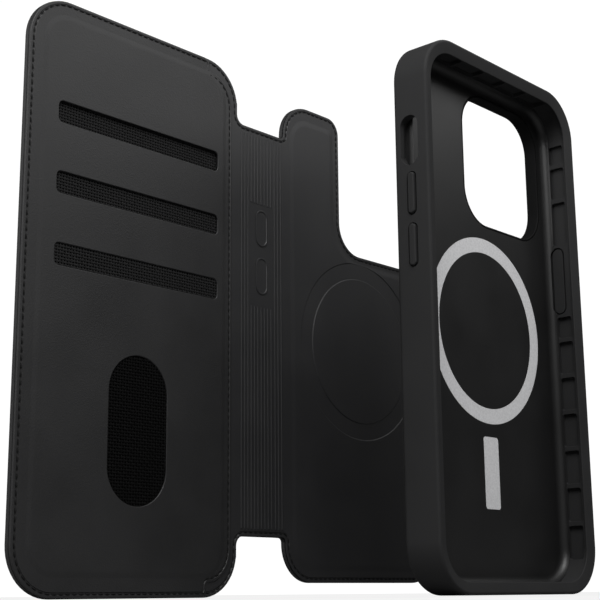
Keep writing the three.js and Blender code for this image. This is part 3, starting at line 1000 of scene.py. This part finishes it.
choose("VERT", lambda v: v.co.x > ring_x and on_outer_wall(v.co, case_right, case_top))
bpy.ops.transform.translate(value=(wall_swell, 0, 0))
outer_right, outer_top = case_right + wall_swell, case_top + wall_swell
choose("VERT", lambda v: v.co.z > 76 and (
    on_outer_wall(v.co, case_right, case_top) or on_outer_wall(v.co, outer_right, case_top)))
bpy.ops.transform.translate(value=(0, 0, wall_swell))
choose("VERT", lambda v: abs(v.co.y - case_front) < 0.01
       and not on_outer_wall(v.co, outer_right, outer_top))
bpy.ops.transform.translate(value=(0, lip_slope, 0))
for y, radius, steps in ((case_front, 1.0, 4), (case_back, 1.3, 5)):
    choose("EDGE", lambda e: sharp(e) and on_outer_wall(middle(e), outer_right, outer_top)
           and abs(middle(e).y - y) < 0.01)
    bevel(radius, steps)
choose("EDGE", lambda e: sharp(e)
       and not on_outer_wall(middle(e), outer_right, outer_top) and middle(e).y < lip_back + 0.1)
bevel(0.2, 3)
mode("OBJECT")


def slot_cutter(axis, low, high, radius, steps=6):
    """A round-ended cutter through a wall; axis is the way it goes through."""
    cutter = add_block("cutter", low[0], high[0], low[1], high[1], low[2], high[2])
    if radius:
        choose("EDGE", lambda e: runs_along(e, axis))
        bevel(radius, steps)
    mode("OBJECT")
    return cutter


def wall_slot(from_x, to_x, z, length, width, y=button_y, steps=6):
    low, high = (from_x, y - width / 2, z - length / 2), (to_x, y + width / 2, z + length / 2)
    return slot_cutter(0, low, high, width / 2 - 0.01, steps)


cutters = []
case_middle = 56.9
inner_left, inner_right = case_left + wall, case_right - wall
pocket_depth, pocket_front, pocket_back, pocket_radius = 1.1, -54.2, -49.4, 0.7
pocket_pitch = 11.1
flange_room, flange_slot, port_y = 1.6, 4.8, -51.2
button_slots = [
    wall_slot(case_left - 1, inner_left + 1, spot, volume_length, button_width)
    for spot in volume_spots]
button_slots.append(wall_slot(
    inner_right - 1, case_right + 1, side_spot, side_length, button_width))
for spot in volume_spots:
    cutters.append(wall_slot(
        inner_left - 1.1, inner_left + 1, spot, volume_length + flange_room, flange_slot))
cutters.append(wall_slot(
    inner_right - 1, inner_right + 1.1, side_spot, side_length + flange_room, flange_slot))
cutters.append(wall_slot(
    case_left - 1, inner_left + 1, switch_spot, switch_length, switch_width, switch_y, 10))
low_middles = [14.8 + pocket_pitch * step for step in range(7)]
low_pockets = [(low - 4.85, min(low + 4.85, 83)) for low in low_middles]
high_pockets = [(105.9, 119.4), (120.9, 130.7), (132.2, 138.0)]
for bottom, top in low_pockets:
    cutters.append(slot_cutter(
        0, (inner_left - pocket_depth, pocket_front, bottom),
        (inner_left + 1, pocket_back, top), pocket_radius, 3))
for bottom, top in low_pockets + high_pockets:
    cutters.append(slot_cutter(
        0, (inner_right - 1, pocket_front, bottom),
        (inner_right + pocket_depth, pocket_back, top), pocket_radius, 3))
for step in range(-2, 3):
    pocket_x = case_middle + pocket_pitch * step
    cutters.append(slot_cutter(
        2, (pocket_x - 4.9, pocket_front, case_top - wall - 1),
        (pocket_x + 4.9, pocket_back, case_top - wall + pocket_depth), pocket_radius, 3))
for offset, length, width in ((0, 13.4, 6.4), (-15.5, 11, 2.4), (15.5, 11, 2.4)):
    cutters.append(slot_cutter(
        2, (case_middle + offset - length / 2, port_y - width / 2, -1),
        (case_middle + offset + length / 2, port_y + width / 2, wall + 1), width / 2 - 0.01, 6))
carve(bumper, button_slots)
carve(bumper, cutters)
mode("EDIT")
choose("EDGE", lambda e: sharp(e)
       and min(abs(middle(e).x - inner_right), abs(middle(e).x - inner_left),
               abs(middle(e).z - case_top + wall)) < 0.01
       and -54.6 < middle(e).y < -49.0 and not 80 < middle(e).z < 114)
bevel(0.22, 2)
mode("OBJECT")
rubber = coated_finish(
    "bumper_rubber", (0.019, 0.019, 0.0195), (0.023, 0.023, 0.0235), 0.66, 0.74, 5200, 900,
    0.000012, specular=0.22)
set_in_place(bumper, "case")
bumper.data.materials.append(rubber)
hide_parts("case_bumper")

# Case tray: the hard back that the phone lies on, with a camera opening. Its floor sweeps up
# into the wall, and it has shallow seats for the ring and the bar.
hole_left, hole_right, hole_bottom, hole_top, hole_radius = 48.9, 88.0, 106.0, 145.8, 10.5
sweep = 2.4
case_ring_outer, case_ring_inner = 27.2, 22.8
bar_left, bar_right, bar_bottom, bar_top = 53.2, 60.4, 23.3, 43.5

tray = case_outline("case_tray_shell", case_back, tray_inset + 0.05)
push(case_floor + 0.1 - case_back)
inset(wall - tray_inset)
push(-sweep - 0.1)
inset(0.12)
for step in range(1, 9):
    before, after = math.radians(90 * (step - 1) / 8), math.radians(90 * step / 8)
    bpy.ops.mesh.inset(
        thickness=sweep * (math.cos(before) - math.cos(after)),
        depth=-sweep * (math.sin(after) - math.sin(before)), use_even_offset=True)
face_outward()
mode("OBJECT")


def hole_cutter(grow, front, back):
    cutter = add_block("hole", hole_left - grow, hole_right + grow, front, back,
                       hole_bottom - grow, hole_top + grow)
    choose("EDGE", lambda e: runs_along(e, 1))
    bevel(hole_radius + grow, 16)
    mode("OBJECT")
    return cutter


seat, seat_gap = case_floor + 0.3, 0.05
ring_seat = ring_cutter(
    "ring_seat", case_ring_outer + seat_gap, case_ring_inner - seat_gap, seat, case_floor - 1, 0)
bar_seat = slot_cutter(
    1, (bar_left - seat_gap, case_floor - 1, bar_bottom - seat_gap),
    (bar_right + seat_gap, seat, bar_top + seat_gap), 0.9, 4)
button_reliefs = [
    wall_slot(inner_left - 0.3, inner_left + 1, spot, volume_length + 1.2, 4.2)
    for spot in volume_spots]
button_reliefs.append(
    wall_slot(inner_right - 1, inner_right + 0.3, side_spot, side_length + 1.2, 4.2))
carve(tray, button_reliefs)
carve(tray, [hole_cutter(0.8, case_floor - 2, case_back + 2), ring_seat, bar_seat])
hard_plastic = coated_finish(
    "hard_plastic", (0.008, 0.008, 0.0082), (0.010, 0.010, 0.0102), 0.38, 0.45, 6000, 700, 0.00001)
set_in_place(tray, "case")
tray.data.materials.append(hard_plastic)
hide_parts("case_tray")

# Camera bezel: a raised ring with rounded lips that lines the camera opening and stands proud
# of the back, so the lenses stay off a table.
bezel = hole_cutter(0.78, case_floor - 0.02, -43.15)
mode("EDIT")
choose("FACE", lambda f: abs(f.normal.y) > 0.9)
inset(0.78)
bpy.ops.mesh.bridge_edge_loops()
face_outward()
choose("EDGE", sharp)
bevel(0.3, 3)
mode("OBJECT")
bezel.name = "camera_bezel_ring"
# Darker than the bumper rubber: painted shade on the inner wall of the camera opening.
bezel_rubber_painted_shade = coated_finish(
    "bezel_rubber_painted_shade", (0.004, 0.004, 0.0042), (0.006, 0.006, 0.0062), 0.6, 0.7, 5200, 900,
    0.000012, specular=0.1)
set_in_place(bezel, "case")
bezel.data.materials.append(bezel_rubber_painted_shade)
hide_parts("camera_bezel")

# Ring and bar: pale printed films over the case's magnets, glued flush into their seats, with
# a faint texture.
pale_film = fleck_finish(
    "pale_film", (0.62, 0.62, 0.63), (0.76, 0.76, 0.77), 1800, 0.00002, roughness=0.45,
    specular=0.5, detail=6, low=0.3, strength=0.25)
film_front, film_back = case_floor + 0.02, case_floor + 0.28
ring_film = ring_cutter(
    "ring_film", case_ring_outer, case_ring_inner, film_back, film_front, -0.04, 128)
bar_film = slot_cutter(
    1, (bar_left, film_front, bar_bottom), (bar_right, film_back, bar_top), 0.9, 5)
mode("EDIT")
choose("EDGE", lambda e: sharp(e) and middle(e).y < case_floor + 0.1)
bevel(0.05, 2)
mode("OBJECT")
bar_film.name = "bar_film"
for film, node in ((ring_film, "ring_inlay"), (bar_film, "bar_inlay")):
    set_in_place(film, "case")
    film.data.materials.append(pale_film)
    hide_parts(node)

# Buttons: three rubber pills that float in their slots, each with a flange behind the wall and
# a softly rounded face.


def case_button(name, body, node, face, back, flange, spot, length):
    root = (back + flange) / 2
    low, high = min(face, root), max(face, root)
    pill = slot_cutter(
        0, (low, button_y - pill_half, spot - length / 2 + 0.3),
        (high, button_y + pill_half, spot + length / 2 - 0.3), pill_half - 0.01, 8)
    mode("EDIT")
    choose("EDGE", lambda e: sharp(e) and abs(middle(e).x - face) < 0.01)
    bevel(0.45, 4)
    mode("OBJECT")
    low, high = min(flange, back), max(flange, back)
    plate = slot_cutter(
        0, (low, button_y - flange_half, spot - length / 2 - 0.4),
        (high, button_y + flange_half, spot + length / 2 + 0.4), flange_half - 0.01, 8)
    mode("EDIT")
    choose("EDGE", sharp)
    bevel(0.15, 2)
    pill = join(pill, [plate])
    pill.name = name
    set_in_place(pill, body)
    pill.data.materials.append(rubber)
    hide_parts(node)


for body, spot in zip(("volume_up", "volume_down"), volume_spots):
    case_button(f"{body}_pill", body, f"{body}_button", case_left - 0.6, inner_left - 0.2,
                inner_left - 0.75, spot, volume_length)
case_button("side_pill", "side_key", "side_button", outer_right + 0.5, inner_right + 0.2,
            inner_right + 0.75, side_spot, side_length)

# Hidden parts that keep their CAD shape: grey board stiffeners, nickel-plated magnets and the
# steel rings behind them.


def plain_stock(name, dark, light, roughness, metal, cells, stretch=(1, 1, 1)):
    finish, nodes, links, shader = new_finish(name)
    shader.inputs["Metallic"].default_value = metal
    place = nodes.new("ShaderNodeTexCoord")
    spread = nodes.new("ShaderNodeMapping")
    spread.inputs["Scale"].default_value = stretch
    fleck = nodes.new("ShaderNodeTexNoise")
    fleck.inputs["Scale"].default_value = cells
    fleck.inputs["Detail"].default_value = 6
    ramp = two_colours(nodes, dark, light)
    gloss = nodes.new("ShaderNodeMapRange")
    gloss.inputs["To Min"].default_value = roughness - 0.08
    gloss.inputs["To Max"].default_value = roughness + 0.08
    links.new(place.outputs["Object"], spread.inputs["Vector"])
    links.new(spread.outputs["Vector"], fleck.inputs["Vector"])
    links.new(fleck.outputs["Fac"], ramp.inputs["Fac"])
    links.new(fleck.outputs["Fac"], gloss.inputs["Value"])
    links.new(ramp.outputs["Color"], shader.inputs["Base Color"])
    links.new(gloss.outputs["Result"], shader.inputs["Roughness"])
    add_relief(nodes, links, fleck.outputs["Fac"], shader, 0.3, 0.00003)
    return finish


grey_board = plain_stock("grey_board", (0.20, 0.18, 0.15), (0.30, 0.28, 0.24), 0.85, 0, 900)
nickel = plain_stock("nickel_plate", (0.48, 0.48, 0.49), (0.58, 0.58, 0.59), 0.3, 1, 2500)
shunt_steel = plain_stock(
    "shunt_steel", (0.30, 0.31, 0.32), (0.42, 0.43, 0.44), 0.4, 1, 1200, (1, 1, 14))
for finish, names in (
    (grey_board, ("flap_board", "pocket_spacer", "back_board")),
    (nickel, ("cover_magnets", "case_magnets", "bar_magnet")),
    (shunt_steel, ("cover_shunt", "case_shunt")),
):
    for name in names:
        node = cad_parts[name]
        node.data.materials.clear()
        node.data.materials.append(finish)
